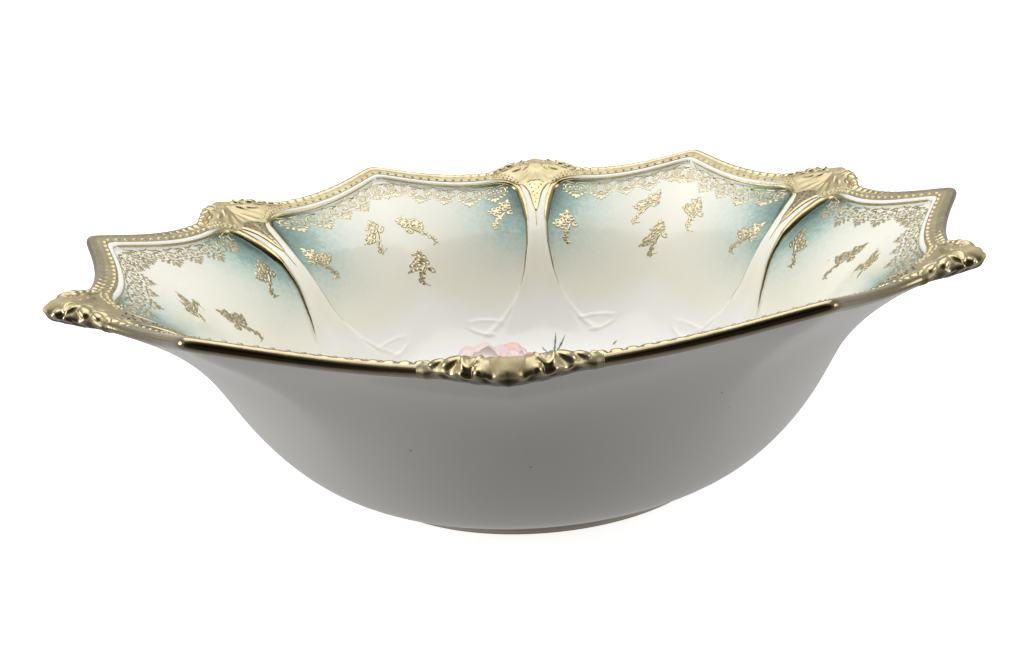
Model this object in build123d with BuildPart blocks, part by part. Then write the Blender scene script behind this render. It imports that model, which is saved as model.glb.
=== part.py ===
"""A six-lobed porcelain serving bowl on a foot ring, in millimetres.

The moulded shell carries six panels that meet at six raised ribs. Each rib runs up the inner wall to a
cartouche at the rim, and each panel's rim rises to a point midway between two cartouches. The shell, the
foot ring, the gilded rim strips, the ribs and the cartouches are separate solids that meet face to face.

Z is up, and the origin is the centre of the foot ring's resting face. A cartouche stands on the +Y axis.
"""

import os
from math import cos, radians, sin

from build123d import *

# Driving dimensions
LOBES = 6
PITCH = 360 / LOBES
HALF_PITCH = PITCH / 2
FOOT_HEIGHT = 3.5
FOOT_OUTER_RADIUS = 58.5
FOOT_INNER_RADIUS = 52.0
FOOT_EDGE_ROUND = 1.2
FLOOR_THICKNESS = 4.0

# The middle of the rim, as (radius, height) at a cartouche, at the low swag beside it, and at a point
RIM_AT_CARTOUCHE = (133.0, 75.0)
RIM_AT_SWAG = (123.3, 73.8)
RIM_AT_POINT = (133.0, 79.6)
FLARE = 38.0  # the wall's rise above the level near the rim, in degrees
RIM_STRIP_DEPTH = 5.0

# The wall from the foot to above the rim: (height, radius at a cartouche, at a swag, at a point)
OUTER_WALL = [
    (FOOT_HEIGHT, 60.0, 60.0, 60.0),
    (8.0, 69.0, 69.0, 69.0),
    (14.0, 77.0, 77.0, 77.0),
    (24.0, 85.5, 85.5, 85.5),
    (36.0, 92.8, 92.5, 92.8),
    (48.0, 99.2, 98.5, 99.2),
    (57.6, 107.5, 105.6, 107.2),
    (65.3, 118.0, 114.2, 116.2),
    (72.0, 130.5, 123.4, 125.5),
    (85.0, 153.5, 140.5, 142.5),
]
INNER_WALL = [
    (FOOT_HEIGHT + FLOOR_THICKNESS, 57.0, 57.0, 57.0),
    (11.0, 67.0, 67.0, 67.0),
    (16.0, 74.0, 74.0, 74.0),
    (25.0, 81.5, 81.5, 81.5),
    (37.0, 88.8, 88.5, 88.8),
    (48.0, 94.7, 94.0, 94.7),
    (57.6, 102.6, 100.7, 102.2),
    (65.3, 112.8, 109.2, 111.0),
    (72.0, 124.8, 118.2, 120.3),
    (85.0, 147.8, 135.3, 137.3),
]
ARC_POINTS = 5  # spline points on each stretch from a cartouche to a point
SHEET_POINTS = 10
SHEET_REACH = 42.0  # the half-width of the sheet that trims the wall at the rim
TRIM_HEIGHT = 90.0

# The cartouche, drawn in a plane that lies along the flared wall
CARTOUCHE_CENTRE = (127.6, 72.0)
CARTOUCHE_SLOPE = 30.0
CARTOUCHE_RELIEF_OUTSIDE = 1.7
CARTOUCHE_RELIEF_INSIDE = 2.7
CARTOUCHE_REACH = 12.0
NECK_HALF_WIDTH = 7.0
NECK_DROP = 11.0
BOSS_CENTRE = 1.6
BOSS_RADII = (3.6, 4.3)
BOSS_RISE = 4.6
LEAF_CENTRE = (8.2, 1.6)
LEAF_RADII = (3.9, 1.7)
LEAF_TURN = -32.0
LEAF_RISE = 5.2

# The rib's middle line on the inner wall from the rim to the floor: (radius, height, half-width)
RIB_STATIONS = [
    (120.3, 69.5, 6.6),
    (112.6, 65.0, 5.2),
    (102.2, 57.0, 4.3),
    (94.4, 47.0, 4.4),
    (88.4, 36.0, 5.4),
    (80.6, 23.6, 8.0),
    (72.0, 13.8, 12.0),
]
RIB_RISE = 2.2


def polar(radius, angle):
    """The level point at a radius and an angle in degrees from the +X axis."""
    return (radius * cos(radians(angle)), radius * sin(radians(angle)))


def swag(share, ends, middle):
    """A parabola through ends[0] at share 0, middle at share 0.5 and ends[1] at share 1."""
    straight = ends[0] + (ends[1] - ends[0]) * share
    return straight - 4 * share * (1 - share) * (sum(ends) / 2 - middle)


def sector(stations, at_centre="point", grow=0.0):
    """A solid wedge of one pitch about +X, lofted from level pie slices that reach the wall's surface.

    Its centre line runs through a point of the rim, or through a cartouche, and grow swells it outward.
    """
    with BuildPart() as wedge:
        for height, cartouche, low, point in stations:
            edge, centre = (cartouche, point) if at_centre == "point" else (point, cartouche)
            outline = [
                polar(
                    swag(1 - abs(i) / ARC_POINTS, (edge, centre), low) + grow,
                    HALF_PITCH * i / ARC_POINTS,
                )
                for i in range(-ARC_POINTS, ARC_POINTS + 1)
            ]
            with BuildSketch(Plane.XY.offset(height)):
                with BuildLine():
                    Spline(*outline[: ARC_POINTS + 1])
                    Spline(*outline[ARC_POINTS:])
                    Polyline(outline[0], (0, 0), outline[-1])
                make_face()
        loft()
    return wedge.part


def rim_at(angle, drop):
    """The middle of the wall at an angle from a point of the rim, a distance down the wall from the rim."""
    share = 1 - min(abs(angle) / HALF_PITCH, 1)
    radius = swag(share, (RIM_AT_CARTOUCHE[0], RIM_AT_POINT[0]), RIM_AT_SWAG[0])
    height = swag(share, (RIM_AT_CARTOUCHE[1], RIM_AT_POINT[1]), RIM_AT_SWAG[1])
    return radius - drop * cos(radians(FLARE)), height - drop * sin(radians(FLARE))


def above_rim(drop):
    """What lies above a sheet that follows the rim square to the flared wall, one pitch wide about +X."""
    out = SHEET_REACH * sin(radians(FLARE))
    down = SHEET_REACH * cos(radians(FLARE))
    with BuildPart() as region:
        for steps in (range(-SHEET_POINTS, 1), range(SHEET_POINTS + 1)):
            inner_edge = []
            outer_edge = []
            for i in steps:
                angle = HALF_PITCH * i / SHEET_POINTS
                radius, height = rim_at(angle, drop)
                inner_edge.append(Vector(*polar(radius - out, angle), height + down))
                outer_edge.append(Vector(*polar(radius + out, angle), height - down))
            sheet = Face.make_surface_from_curves(
                Edge.make_spline(inner_edge),
                Edge.make_spline(outer_edge),
            )
            extrude(sheet, amount=TRIM_HEIGHT, dir=(0, 0, 1))
    return region.part


def write(solid, name):
    """Labels a finished piece and writes it as its own STEP file."""
    solid.label = name
    export_step(solid, f"parts/{name}.step")


def at_cartouches():
    """The angle of each cartouche, in order round the rim from the one on +Y."""
    return [90 + PITCH * lobe for lobe in range(LOBES)]


# One pitch of the untrimmed wall, what is above its rim strip and its rim, and a thicker wall at a cartouche
panel_wall = sector(OUTER_WALL) - sector(INNER_WALL)
above_strip = above_rim(RIM_STRIP_DEPTH)
above_edge = above_rim(0)
thick_wall = sector(OUTER_WALL, "cartouche", CARTOUCHE_RELIEF_OUTSIDE)
thick_wall -= sector(INNER_WALL, "cartouche", -CARTOUCHE_RELIEF_INSIDE)

# Cartouche: a thick piece of wall inside a scrolled outline, with a boss and two leaves on its inner side
cartouche_plane = Plane(
    origin=(CARTOUCHE_CENTRE[0], 0, CARTOUCHE_CENTRE[1]),
    x_dir=(0, -1, 0),
    z_dir=(-sin(radians(CARTOUCHE_SLOPE)), 0, cos(radians(CARTOUCHE_SLOPE))),
)
with BuildPart() as cartouche:
    with BuildSketch(cartouche_plane):
        with BuildLine() as outline:
            ThreePointArc((0, 9.4), (2.6, 9.0), (4.6, 7.6))
            ThreePointArc((4.6, 7.6), (7.6, 7.6), (9.4, 5.2))
            ThreePointArc((9.4, 5.2), (12.0, 4.4), (13.4, 2.0))
            ThreePointArc((13.4, 2.0), (13.7, -0.4), (11.6, -1.6))
            ThreePointArc((11.6, -1.6), (8.4, -5.4), (NECK_HALF_WIDTH, -NECK_DROP))
            Line((NECK_HALF_WIDTH, -NECK_DROP), (0, -NECK_DROP))
            mirror(about=Plane.YZ)
        make_face()
    extrude(amount=CARTOUCHE_REACH, both=True)
    add(thick_wall, mode=Mode.INTERSECT)
    with BuildSketch(cartouche_plane):
        with Locations((0, BOSS_CENTRE)):
            Ellipse(*BOSS_RADII)
    extrude(amount=BOSS_RISE)
    with BuildSketch(cartouche_plane):
        for side in (-1, 1):
            with Locations(Location((side * LEAF_CENTRE[0], LEAF_CENTRE[1]), side * LEAF_TURN)):
                Ellipse(*LEAF_RADII)
    extrude(amount=LEAF_RISE)

# Rim strip: the gilded top of the wall, from one cartouche round a point to the next
with BuildPart() as rim_strip:
    add(panel_wall)
    add(above_strip, mode=Mode.INTERSECT)
    add(above_edge, mode=Mode.SUBTRACT)
    for side in (-1, 1):
        add(Rot(0, 0, side * HALF_PITCH) * cartouche.part, mode=Mode.SUBTRACT)

# Bowl body: the floor and the wall below the rim strips, with a seat for each cartouche
panel_below_strip = panel_wall - above_strip
with BuildPart() as bowl_body:
    with PolarLocations(0, LOBES):
        add(panel_below_strip)
    for angle in at_cartouches():
        add(Rot(0, 0, angle) * cartouche.part, mode=Mode.SUBTRACT)

# Foot ring: the unglazed ring the bowl stands on
with BuildPart() as foot_ring:
    with BuildSketch():
        Circle(FOOT_OUTER_RADIUS)
        Circle(FOOT_INNER_RADIUS, mode=Mode.SUBTRACT)
    extrude(amount=FOOT_HEIGHT)
    chamfer(foot_ring.faces().sort_by(Axis.Z)[0].edges(), FOOT_EDGE_ROUND)

# Rib: a rounded ridge that follows the inner wall down from the cartouche and widens towards the floor
with BuildPart() as rib:
    for i, (radius, height, half_width) in enumerate(RIB_STATIONS):
        above = RIB_STATIONS[max(i - 1, 0)]
        below = RIB_STATIONS[min(i + 1, len(RIB_STATIONS) - 1)]
        section = Plane(
            origin=(radius, 0, height),
            x_dir=(0, 1, 0),
            z_dir=(below[0] - above[0], 0, below[1] - above[1]),
        )
        with BuildSketch(section):
            Ellipse(half_width, RIB_RISE)
    loft()
    add(Rot(0, 0, -at_cartouches()[0]) * bowl_body.part, mode=Mode.SUBTRACT)
    add(cartouche.part, mode=Mode.SUBTRACT)

os.makedirs("parts", exist_ok=True)
write(bowl_body.part, "bowl_body")
write(foot_ring.part, "foot_ring")
for number, angle in enumerate(at_cartouches(), start=1):
    write(Rot(0, 0, angle) * cartouche.part, f"cartouche_{number}")
    write(Rot(0, 0, angle) * rib.part, f"rib_{number}")
    write(Rot(0, 0, angle + HALF_PITCH) * rim_strip.part, f"rim_strip_{number}")
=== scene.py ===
"""The gilded porcelain serving bowl: glaze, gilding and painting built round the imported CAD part."""

from math import cos, degrees, pi, radians, sin

import bpy
import numpy as np
from mathutils import Matrix, Vector

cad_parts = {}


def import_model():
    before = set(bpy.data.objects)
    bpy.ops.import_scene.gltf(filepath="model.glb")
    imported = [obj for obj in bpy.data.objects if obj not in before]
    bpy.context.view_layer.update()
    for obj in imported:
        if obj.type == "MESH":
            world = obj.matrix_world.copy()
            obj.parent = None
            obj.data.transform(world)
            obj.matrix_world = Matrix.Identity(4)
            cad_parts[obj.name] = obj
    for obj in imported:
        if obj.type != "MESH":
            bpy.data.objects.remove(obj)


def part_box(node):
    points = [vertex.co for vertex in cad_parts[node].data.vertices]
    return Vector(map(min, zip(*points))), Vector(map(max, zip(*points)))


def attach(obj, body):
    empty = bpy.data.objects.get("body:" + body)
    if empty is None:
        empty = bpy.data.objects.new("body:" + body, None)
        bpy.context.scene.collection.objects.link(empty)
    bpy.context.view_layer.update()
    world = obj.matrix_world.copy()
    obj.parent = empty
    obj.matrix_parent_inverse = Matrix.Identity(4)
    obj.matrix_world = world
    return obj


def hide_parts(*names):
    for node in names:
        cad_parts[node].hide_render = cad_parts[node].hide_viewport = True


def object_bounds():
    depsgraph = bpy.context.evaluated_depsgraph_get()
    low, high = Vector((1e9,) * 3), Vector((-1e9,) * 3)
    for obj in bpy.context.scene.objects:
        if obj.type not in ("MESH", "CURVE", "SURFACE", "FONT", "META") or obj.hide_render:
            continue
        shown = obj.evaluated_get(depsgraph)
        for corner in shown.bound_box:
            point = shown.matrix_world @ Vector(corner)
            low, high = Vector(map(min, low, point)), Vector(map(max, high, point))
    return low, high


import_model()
cad_low, cad_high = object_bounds()

# Lengths below are in the part's millimetres, and UNIT turns them into the frame's metres
DESIGN_WIDTH = 270.84
UNIT = (cad_high.x - cad_low.x) / DESIGN_WIDTH
LOBES = 6
PITCH = 360 / LOBES
HALF_PITCH = PITCH / 2
FIRST_CARTOUCHE = 90

# ------------------------------------------------------------------ the bowl's surface
FLARE = radians(38.0)
RIM = {"cartouche": (133.0, 75.0), "swag": (123.3, 73.8), "point": (133.0, 79.6)}
OUTER_WALL = np.array([
    (3.5, 60.0, 60.0, 60.0), (8.0, 69.0, 69.0, 69.0), (14.0, 77.0, 77.0, 77.0), (24.0, 85.5, 85.5, 85.5),
    (36.0, 92.8, 92.5, 92.8), (48.0, 99.2, 98.5, 99.2), (57.6, 107.5, 105.6, 107.2), (65.3, 118.0, 114.2, 116.2),
    (72.0, 130.5, 123.4, 125.5), (85.0, 153.5, 140.5, 142.5),
])
INNER_WALL = np.array([
    (7.5, 20.0, 20.0, 20.0), (7.5, 40.0, 40.0, 40.0), (8.0, 57.0, 57.0, 57.0), (11.0, 67.0, 67.0, 67.0),
    (16.0, 74.0, 74.0, 74.0), (25.0, 81.5, 81.5, 81.5), (37.0, 88.8, 88.5, 88.8), (48.0, 94.7, 94.0, 94.7),
    (57.6, 102.6, 100.7, 102.2), (65.3, 112.8, 109.2, 111.0), (72.0, 124.8, 118.2, 120.3),
    (85.0, 147.8, 135.3, 137.3),
])
UNDERSIDE = 3.5
LIP = 4.4
LIP_BULGE = 1.3
LIP_SQUARENESS = 0.85
LIP_SETBACK = 1.0
LIP_THINNING = 0.75
THINNING_REACH = 15.0
CUSP = 0.03


def natural(values, dense):
    """A natural cubic spline through values at 0, 1, 2, ..., read at the dense positions."""
    n = len(values)
    m = np.eye(n)
    rhs = np.zeros(n)
    for i in range(1, n - 1):
        m[i, i - 1 : i + 2] = (1, 4, 1)
        rhs[i] = 6 * (values[i + 1] - 2 * values[i] + values[i - 1])
    curve = np.linalg.solve(m, rhs)
    i = np.clip(dense.astype(int), 0, n - 2)
    t = dense - i
    u = 1 - t
    bend = ((u**3 - u) * curve[i] + (t**3 - t) * curve[i + 1]) / 6
    return u * values[i] + t * values[i + 1] + bend


def swag(share, start, end, middle):
    return start + (end - start) * share - 4 * share * (1 - share) * ((start + end) / 2 - middle)


def soft_share(angle):
    """0 at a cartouche to 1 at a point, with the point's cusp a little rounded."""
    share = np.abs((np.asarray(angle, float) + HALF_PITCH) % PITCH - HALF_PITCH) / HALF_PITCH
    return 1 - (np.sqrt((1 - share) ** 2 + CUSP**2) - CUSP)


def section(angle):
    """One meridian as a closed run (tau, radius, height): tau is 0 at the rim's inner edge, rises down the
    inside to the middle of the floor, and falls round the lip and down the outside."""
    share = float(soft_share(angle))
    rim_r = swag(share, RIM["cartouche"][0], RIM["point"][0], RIM["swag"][0])
    rim_z = swag(share, RIM["cartouche"][1], RIM["point"][1], RIM["swag"][1])
    runs = []
    for wall in (OUTER_WALL, INNER_WALL):
        dense = np.linspace(0, len(wall) - 1, 900)
        z = natural(wall[:, 0], dense)
        r = swag(share, *(natural(wall[:, i], dense) for i in (1, 3, 2)))
        up = (r - rim_r) * cos(FLARE) + (z - rim_z) * sin(FLARE) + LIP_SETBACK
        top = np.array([np.interp(0, up, r), np.interp(0, up, z)])
        keep = up < 0
        runs.append(np.vstack([np.column_stack([r[keep], z[keep]]), top]))
    outer, inner = runs
    from_rim = np.hypot(*(inner - inner[-1]).T)[:, None]
    inner = inner + np.array([sin(FLARE), -cos(FLARE)]) * LIP_THINNING * np.exp(-((from_rim / THINNING_REACH) ** 2))
    middle = (outer[-1] + inner[-1]) / 2
    half = (inner[-1] - outer[-1]) / 2
    turn = np.linspace(0, pi, 24)[1:-1, None]
    flare = np.array([cos(FLARE), sin(FLARE)])
    across_lip = np.sign(np.cos(turn)) * np.abs(np.cos(turn)) ** LIP_SQUARENESS
    lip = middle - half * across_lip + flare * LIP_BULGE * np.sin(turn) ** LIP_SQUARENESS
    down_in = inner[::-1]
    inside = np.vstack([down_in, [[0.5, down_in[-1, 1]]]])
    outside = np.vstack([outer[::-1], [[0.5, UNDERSIDE]]])

    def lengths(run):
        return np.r_[0, np.cumsum(np.hypot(*np.diff(run, axis=0).T))]

    tau_lip = -np.linspace(0, LIP, 24)[1:-1]
    path = np.vstack([outside[::-1], lip, inside])
    tau = np.r_[(-LIP - lengths(outside))[::-1], tau_lip[::-1], lengths(inside)]
    return tau, path[:, 0], path[:, 1]


ANGLES = np.linspace(0, HALF_PITCH, 91)
SECTIONS = [section(a) for a in ANGLES]
TAU_LOW = np.array([s[0][0] for s in SECTIONS])
TAU_HIGH = np.array([s[0][-1] for s in SECTIONS])
TAUS = np.arange(TAU_LOW.min() - 1, TAU_HIGH.max() + 1, 0.2)
TABLE_R = np.array([np.interp(TAUS, t, r) for t, r, z in SECTIONS])
TABLE_Z = np.array([np.interp(TAUS, t, z) for t, r, z in SECTIONS])


def look_up(table, angle, tau):
    """Bilinear reading of a table at an angle from a cartouche, either side of it, and tau."""
    folded = np.abs((np.asarray(angle, float) + HALF_PITCH) % PITCH - HALF_PITCH)
    i = folded / HALF_PITCH * (len(ANGLES) - 1)
    j = (np.asarray(tau, float) - TAUS[0]) / (TAUS[1] - TAUS[0])
    i, j = np.broadcast_arrays(i, j)
    i0 = np.clip(i.astype(int), 0, len(ANGLES) - 2)
    j0 = np.clip(j.astype(int), 0, len(TAUS) - 2)
    u, v = i - i0, j - j0
    return (table[i0, j0] * (1 - u) + table[i0 + 1, j0] * u) * (1 - v) + (
        table[i0, j0 + 1] * (1 - u) + table[i0 + 1, j0 + 1] * u
    ) * v


def limit(table, angle):
    folded = np.abs((np.asarray(angle, float) + HALF_PITCH) % PITCH - HALF_PITCH)
    return np.interp(folded, ANGLES, table)


def bare(angle, tau):
    """A point of the plain wall, with the cartouche at angle 0 on +X."""
    r = look_up(TABLE_R, angle, tau)
    z = look_up(TABLE_Z, angle, tau)
    t = np.radians(angle)
    return np.stack([r * np.cos(t), r * np.sin(t), z], -1)


def normal(angle, tau):
    """The wall's unit normal, out of the porcelain."""
    da = bare(angle + 0.4, tau) - bare(angle - 0.4, tau)
    dt = bare(angle, tau + 0.6) - bare(angle, tau - 0.6)
    n = np.cross(da, dt)
    return n / np.maximum(np.linalg.norm(n, axis=-1, keepdims=True), 1e-9)


def angle_at(x, depth):
    """The angle at a distance x round the inside from a cartouche's middle line."""
    a = np.degrees(x / look_up(TABLE_R, 0.0, depth))
    for _ in range(3):
        a = np.degrees(x / look_up(TABLE_R, a, depth))
    return a


def across(angle, tau):
    """The distance round the inside from the nearest cartouche's middle line."""
    folded = np.abs((np.asarray(angle, float) + HALF_PITCH) % PITCH - HALF_PITCH)
    return np.radians(folded) * look_up(TABLE_R, angle, tau)


def smooth(low, high, value):
    t = np.clip((value - low) / (high - low), 0, 1)
    return t * t * (3 - 2 * t)


# ------------------------------------------------------------------ moulded relief inside
BORDER = 6.3
CORNER = 7.5
RIB_DEPTHS = (0, 8, 14, 22, 32, 42, 52, 60, 68, 78)
RIB_WIDTHS = (11.0, 8.6, 7.0, 5.3, 4.0, 4.4, 6.0, 8.8, 13.0, 17.0)
RIB_RISE = ((0, 10, 30, 45, 56, 66, 76), (0.9, 1.5, 2.1, 1.9, 1.2, 0.4, 0.0))
BAND_RISE = 1.1
BAND_SLOPE = 5.5
FOOT_SCROLLS = [
    # (points as (x, depth), ridge half-width, ridge height)
    (((5.6, 53), (7.8, 58), (11.0, 63), (15.5, 68), (21.5, 73.5)), 0.85, 0.32),
    (((15.0, 68.5), (20, 67.2), (25, 67.4), (28.6, 69.2), (28.2, 71.8), (24.5, 73.0), (19.0, 73.4)), 0.6, 0.22),
]


def rib_half_width(depth):
    return np.interp(depth, RIB_DEPTHS, RIB_WIDTHS)


def panel_inset(x, depth):
    """How far a place lies inside its panel's moulded frame; negative on the ribs and the rim band."""
    side = CORNER - (x - rib_half_width(depth))
    top = CORNER - (depth - BORDER)
    return CORNER - np.hypot(np.maximum(side, 0), np.maximum(top, 0))


def ridge_distance(x, depth, points):
    best = np.full(np.broadcast(x, depth).shape, 1e9)
    for (x0, d0), (x1, d1) in zip(points, points[1:]):
        vx, vd = x1 - x0, d1 - d0
        t = np.clip(((x - x0) * vx + (depth - d0) * vd) / (vx * vx + vd * vd), 0, 1)
        best = np.minimum(best, np.hypot(x - x0 - t * vx, depth - d0 - t * vd))
    return best


def relief(angle, tau):
    """Height of the moulding above the plain inner wall."""
    x = across(angle, tau)
    depth = np.maximum(tau, 0)
    width = rib_half_width(depth)
    inset = panel_inset(x, depth)
    near_rib = np.exp(-((np.maximum(x - width, 0) / 5) ** 2))
    rib = np.interp(depth, *RIB_RISE) * (1 - 0.2 * np.clip(x / width, 0, 1) ** 2)
    raised = rib * near_rib + BAND_RISE * np.clip(depth / BAND_SLOPE, 0, 1) * (1 - near_rib)
    frame_edge = smooth(0.9, -0.9, inset)
    hollow = 0.55 * np.exp(-(((inset - 3.2) / 3.4) ** 2)) * smooth(48, 12, depth)
    height = raised * frame_edge - hollow * (1 - frame_edge)
    for points, half, rise in FOOT_SCROLLS:
        height = height + rise * np.exp(-((ridge_distance(x, depth, points) / half) ** 2))
    ring = 0.35 * np.exp(-(((depth - 92) / 1.6) ** 2))
    return (height + ring) * smooth(0.0, 2.2, tau)


def on_inside(angle, tau, height=0.0):
    """A point a height above the moulded inside."""
    return bare(angle, tau) + normal(angle, tau) * (relief(angle, tau) + height)[..., None]


# ------------------------------------------------------------------ meshes
def turned(points, degrees_about_z):
    t = radians(degrees_about_z)
    x, y, z = points[..., 0], points[..., 1], points[..., 2]
    return np.stack([x * cos(t) - y * sin(t), x * sin(t) + y * cos(t), z], -1)


def build(name, verts, faces, material, slot, attributes=None, colours=None):
    """A named piece from points in millimetres."""
    mesh = bpy.data.meshes.new(name)
    mesh.from_pydata((np.asarray(verts).reshape(-1, 3) * UNIT).tolist(), [], faces)
    mesh.polygons.foreach_set("use_smooth", np.ones(len(mesh.polygons), bool))
    for key, values in (attributes or {}).items():
        mesh.attributes.new(key, "FLOAT", "POINT").data.foreach_set("value", np.ravel(values).astype(np.float32))
    if colours is not None:
        layer = mesh.color_attributes.new("paint", "FLOAT_COLOR", "POINT")
        layer.data.foreach_set("color", np.ravel(colours).astype(np.float32))
    mesh.materials.append(material)
    piece = bpy.data.objects.new(name, mesh)
    bpy.context.collection.objects.link(piece)
    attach(piece, "root")
    return piece


def grid_faces(rows, columns, wrap_columns=False, offset=0):
    i = np.arange(rows - 1)[:, None]
    j = np.arange(columns if wrap_columns else columns - 1)[None, :]
    k = (j + 1) % columns
    quads = np.stack([i * columns + j, i * columns + k, (i + 1) * columns + k, (i + 1) * columns + j], -1)
    return (quads.reshape(-1, 4) + offset).tolist()


class Batch:
    """Many small thin shapes gathered into one mesh. Shapes are drawn in (x, depth) near a cartouche."""

    def __init__(self):
        self.verts = []
        self.faces = []
        self.count = 0

    def add(self, verts, faces):
        self.verts.append(verts)
        self.faces.extend([[v + self.count for v in f] for f in faces])
        self.count += len(verts)

    def ribbon(self, place, points, halves, rise=0.1, sink=0.25, crown=0.6):
        """A thin raised strip along points (x, depth), with a half-width at each."""
        points = np.asarray(points, float)
        halves = np.broadcast_to(np.asarray(halves, float), (len(points),))
        run = np.gradient(points, axis=0)
        run /= np.maximum(np.linalg.norm(run, axis=1, keepdims=True), 1e-9)
        side = np.column_stack([-run[:, 1], run[:, 0]]) * halves[:, None]
        left, right = points + side, points - side
        loops = np.stack([
            place(left, -sink), place(left, rise * crown), place(points, rise), place(right, rise * crown),
            place(right, -sink),
        ], 1)
        n = len(points)
        faces = grid_faces(n, 5, wrap_columns=True)
        faces += [[4, 3, 2, 1, 0], [5 * (n - 1) + i for i in range(5)]]
        self.add(loops.reshape(-1, 3), faces)

    def blob(self, place, outline, rise=0.12, sink=0.25, crown=0.5):
        """A filled flat shape with a slightly crowned top."""
        outline = np.asarray(outline, float)
        n = len(outline)
        centre = outline.mean(0, keepdims=True)
        inner = centre + (outline - centre) * 0.6
        verts = np.vstack([place(outline, -sink), place(outline, rise * crown), place(inner, rise), place(centre, rise)])
        faces = grid_faces(3, n, wrap_columns=True)
        faces += [[2 * n + i, 2 * n + (i + 1) % n, 3 * n] for i in range(n)]
        faces.append(list(range(n))[::-1])
        self.add(verts, faces)

    def piece(self, name, material, slot, **extra):
        return build(name, np.vstack(self.verts), self.faces, material, slot, **extra)


def placer(number, shift_angle=0.0, extra=0.0):
    """Turns drawn (x, depth) points near cartouche number into points on the moulded inside."""
    turn = FIRST_CARTOUCHE + PITCH * number + shift_angle

    def place(points, height):
        x, depth = points[:, 0], points[:, 1]
        if shift_angle:
            r = look_up(TABLE_R, shift_angle, depth)
            for _ in range(3):
                a = shift_angle + np.degrees(x / r)
                r = look_up(TABLE_R, a, depth)
            local = on_inside(a, depth, height + extra)
            return turned(local, turn - shift_angle)
        a = angle_at(x, depth)
        return turned(on_inside(a, depth, height + extra), turn)

    return place


# ------------------------------------------------------------------ materials
class Nodes:
    """A short way to build one material's nodes."""

    def __init__(self, name):
        self.material = bpy.data.materials.new(name)
        self.material.use_nodes = True
        self.tree = self.material.node_tree
        self.shader = self.tree.nodes["Principled BSDF"]

    def node(self, kind, **settings):
        made = self.tree.nodes.new(kind)
        inputs = settings.pop("inputs", {})
        for key, value in settings.items():
            setattr(made, key, value)
        for key, value in inputs.items():
            self.feed(made.inputs[key], value)
        return made

    def feed(self, socket, value):
        if isinstance(value, bpy.types.NodeSocket):
            self.tree.links.new(value, socket)
        else:
            socket.default_value = value

    def set(self, **values):
        for key, value in values.items():
            self.feed(self.shader.inputs[key.replace("_", " ")], value)

    def noise(self, scale, detail=3.0, rough=0.5):
        where = self.node("ShaderNodeTexCoord").outputs["Object"]
        made = self.node("ShaderNodeTexNoise", inputs={"Vector": where, "Scale": scale, "Detail": detail,
                                                       "Roughness": rough})
        return made.outputs["Fac"]

    def spread(self, value, low, high, to_low, to_high):
        made = self.node("ShaderNodeMapRange", inputs={"Value": value, "From Min": low, "From Max": high,
                                                       "To Min": to_low, "To Max": to_high})
        return made.outputs["Result"]

    def mix(self, factor, a, b):
        made = self.node("ShaderNodeMix", data_type="RGBA")
        self.feed(made.inputs[0], factor)
        self.feed(made.inputs[6], a)
        self.feed(made.inputs[7], b)
        return made.outputs[2]

    def math(self, operation, a, b):
        made = self.node("ShaderNodeMath", operation=operation)
        self.feed(made.inputs[0], a)
        self.feed(made.inputs[1], b)
        return made.outputs[0]

    def attribute(self, name, output="Fac"):
        return self.node("ShaderNodeAttribute", attribute_name=name).outputs[output]

    def bump(self, height, strength, distance):
        made = self.node("ShaderNodeBump", inputs={"Height": height, "Strength": strength, "Distance": distance})
        self.feed(self.shader.inputs["Normal"], made.outputs["Normal"])


def rgb(r, g, b):
    """A screen colour, 0 to 255, as linear light."""
    def one(v):
        v /= 255
        return v / 12.92 if v <= 0.04045 else ((v + 0.055) / 1.055) ** 2.4
    return (one(r), one(g), one(b), 1.0)


WHITE_GLAZE = rgb(238, 236, 230)
CREAM = rgb(234, 231, 217)
SEA = rgb(156, 182, 172)
TEAL = rgb(54, 86, 80)


def glaze_material():
    n = Nodes("glazed_porcelain")
    mottle = n.spread(n.noise(600, 4, 0.7), 0.3, 0.7, -0.09, 0.09)
    cloud = n.spread(n.noise(55, 3), 0.3, 0.7, -0.06, 0.06)
    # The attribute holds the teal painting and also a painted shade on the fillet under the rim band
    teal_and_painted_shade = n.attribute("teal_and_painted_shade")
    grain = n.math("MULTIPLY", n.math("ADD", mottle, cloud), n.spread(teal_and_painted_shade, 0.0, 0.35, 0.0, 1.0))
    teal_and_painted_shade = n.math("ADD", teal_and_painted_shade, grain)
    ground = n.mix(n.attribute("cream"), WHITE_GLAZE, CREAM)
    light = n.mix(n.spread(teal_and_painted_shade, 0.0, 0.5, 0.0, 1.0), ground, SEA)
    colour = n.mix(n.spread(teal_and_painted_shade, 0.4, 1.0, 0.0, 1.0), light, TEAL)
    speck = n.node("ShaderNodeTexVoronoi", inputs={
        "Vector": n.node("ShaderNodeTexCoord").outputs["Object"], "Scale": 62.0})
    spot = n.spread(speck.outputs["Distance"], 0.018, 0.03, 0.5, 0.0)
    n.set(Base_Color=n.mix(spot, colour, rgb(120, 118, 104)), Roughness=n.spread(n.noise(90, 2), 0.3, 0.7, 0.07, 0.13))
    n.shader.inputs["IOR"].default_value = 1.46
    n.bump(n.noise(160, 2), 0.06, 0.0006)
    return n.material


def gold_material(name, colour, dark, rough_low, rough_high, bump, scale=220, moulded=False):
    n = Nodes(name)
    wear = n.noise(scale, 4, 0.6)
    rough = n.spread(n.noise(70, 3), 0.3, 0.7, rough_low, rough_high)
    gold = n.mix(n.spread(wear, 0.35, 0.75, 0.0, 1.0), colour, dark)
    if moulded:
        rough = n.math("ADD", rough, n.math("MULTIPLY", n.attribute("matt"), MATT_ROUGHNESS))
        # Painted dark reflection and painted shade: the attribute mixes a dark brown gilt over the outer lip and under
        # the scallops
        gold = n.mix(n.attribute("painted_shade_and_reflection"), gold, PAINTED_DARK_GILT)
    n.set(Base_Color=gold, Metallic=1.0, Roughness=rough)
    n.bump(n.noise(scale * 3, 3), bump, 0.0004)
    return n.material


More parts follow.
